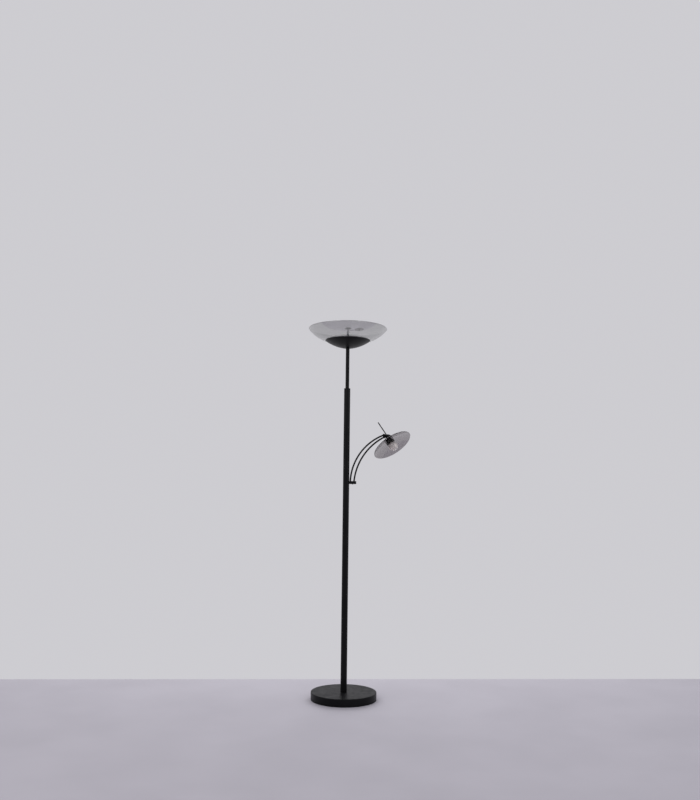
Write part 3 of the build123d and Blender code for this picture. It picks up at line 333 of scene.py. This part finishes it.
def dress(piece, material):
    """Give a piece one material."""
    piece.data.materials.clear()
    piece.data.materials.append(material)


for row in frame["record"]["subparts"]:
    finish = finish_by_node.get(row["node"], finish_by_slot[row["material_slot"]])
    dress(frame["nodes"][row["node"]], finish)

# %% [markdown]
# ## Floor
# The lamp stands on a plain pale floor, as in a studio.  A sweep that curves up behind it would
# hide the lamp from the back, so the floor is one flat grid that ends a little way behind, where
# the pale air takes over as the backdrop.  It is turned a few degrees, which levels its far edge
# in the picture.

# %% Floor
FLOOR_WIDTH = 12.0
FLOOR_FRONT, FLOOR_BACK = -9.0, 0.42
FLOOR_TURN = radians(3.1)
FLOOR_DEPTH = FLOOR_BACK - FLOOR_FRONT
FLOOR_MIDDLE = (FLOOR_BACK + FLOOR_FRONT) / 2
floor_mesh = bpy.data.meshes.new("studio_floor")
bm = bmesh.new()
bmesh.ops.create_grid(bm, x_segments=1, y_segments=1, size=0.5)
bmesh.ops.scale(bm, verts=bm.verts, vec=(FLOOR_WIDTH, FLOOR_DEPTH, 1))
bmesh.ops.translate(bm, verts=bm.verts, vec=(0, FLOOR_MIDDLE, 0))
turn = Matrix.Rotation(FLOOR_TURN, 3, "Z")
bmesh.ops.rotate(bm, verts=bm.verts, cent=(0, 0, 0), matrix=turn)
bm.to_mesh(floor_mesh)
bm.free()
studio_floor = bpy.data.objects.new("studio_floor", floor_mesh)
bpy.context.scene.collection.objects.link(studio_floor)
# matt paper with a hint of violet: pale enough to be plain, dark enough to carry a shadow
dress(studio_floor, finish_of("pale_studio_paper", "A6A3AB", "ABA8B0", (0.8, 0.9), 400.0))
print("floor", FLOOR_WIDTH, "m wide and", round(FLOOR_DEPTH, 2), "m deep")

# %% [markdown]
# ## Camera
# The camera stands where a fit to the photograph puts it, if the lamp is 1.75 m tall: 3.85 m in
# front, 0.92 m up, looking slightly upwards and rolled by a fraction of a degree, which is why the
# pole leans in the picture.  It could be aimed at a point by a constraint.  Plain angles are easier
# to match and don't move.

# %% Camera
CAMERA_PLACE = (0.0140, -3.8503, 0.9164)
LOOK_UP, ROLL = 7.131, 0.668  # degrees
SENSOR_WIDTH_MM, LENS_MM = 36.0, 35.99
camera_data = bpy.data.cameras.new("camera")
camera_data.sensor_width = SENSOR_WIDTH_MM
camera_data.lens = LENS_MM
camera_data.clip_end = 60.0
camera = bpy.data.objects.new("camera", camera_data)
camera.location = CAMERA_PLACE
tilt = Matrix.Rotation(radians(90 + LOOK_UP), 4, "X")
roll = Matrix.Rotation(radians(ROLL), 4, "Z")
camera.rotation_mode = "QUATERNION"
camera.rotation_quaternion = (tilt @ roll).to_quaternion()
bpy.context.scene.collection.objects.link(camera)
bpy.context.scene.camera = camera
print("camera at", tuple(round(c, 3) for c in camera.location))

# %% [markdown]
# ## Soft boxes
# Black tubes and grey glass show the lights more than their own colour, so the lights are large
# and few.  Points would leave hard glints and hard shadows.  A wide box at the upper left models
# the rounds, and a weaker one at the right keeps the far side from closing up.  A third stands
# low behind: it lifts the foot's top and draws the soft shadow towards the camera.  The glass
# would mirror it as a bright square, so it is kept out of reflections and transmission.

# %% Soft boxes


def soft_box(name, place, aim, size, power, colour):
    """A square area light that looks at a point and doesn't show itself to the camera."""
    data = bpy.data.lights.new(name, "AREA")
    data.size = size
    data.energy = power
    data.color = linear(colour)[:3]
    made = bpy.data.objects.new(name, data)
    made.location = place
    made.rotation_mode = "QUATERNION"
    made.rotation_quaternion = (Vector(aim) - Vector(place)).to_track_quat("-Z", "Y")
    made.visible_camera = False
    bpy.context.scene.collection.objects.link(made)
    return made


soft_box("key_light", (-2.6, -2.6, 3.2), (0, 0, 1.1), size=2.2, power=45, colour="FFFDFB")
soft_box("fill_light", (3.0, -2.2, 2.4), (0, 0, 1.0), size=2.6, power=25, colour="FBFCFF")
back_glow = soft_box("back_glow", (0, 3.4, 1.1), (0, 0, 0.2), size=3.6, power=230, colour="FFFFFF")
back_glow.visible_transmission = False
back_glow.visible_glossy = False
print("three soft boxes placed")

# %% [markdown]
# ## Pale air
# Everything around the lamp is one pale, faintly violet grey, which is the backdrop and fills the
# shadows as well.  A backdrop sheet would serve one view only, and the air serves every side.
# The plain Standard view keeps the colours as they were picked.

# %% Pale air
AIR_COLOUR, AIR_BRIGHTNESS = "E6E5EA", 0.775
air = bpy.data.worlds.new("studio_air")
air.use_nodes = True
background = air.node_tree.nodes["Background"]
background.inputs["Color"].default_value = linear(AIR_COLOUR)
background.inputs["Strength"].default_value = AIR_BRIGHTNESS
bpy.context.scene.world = air
bpy.context.scene.view_settings.view_transform = "Standard"
print("air", AIR_COLOUR, "at", AIR_BRIGHTNESS)
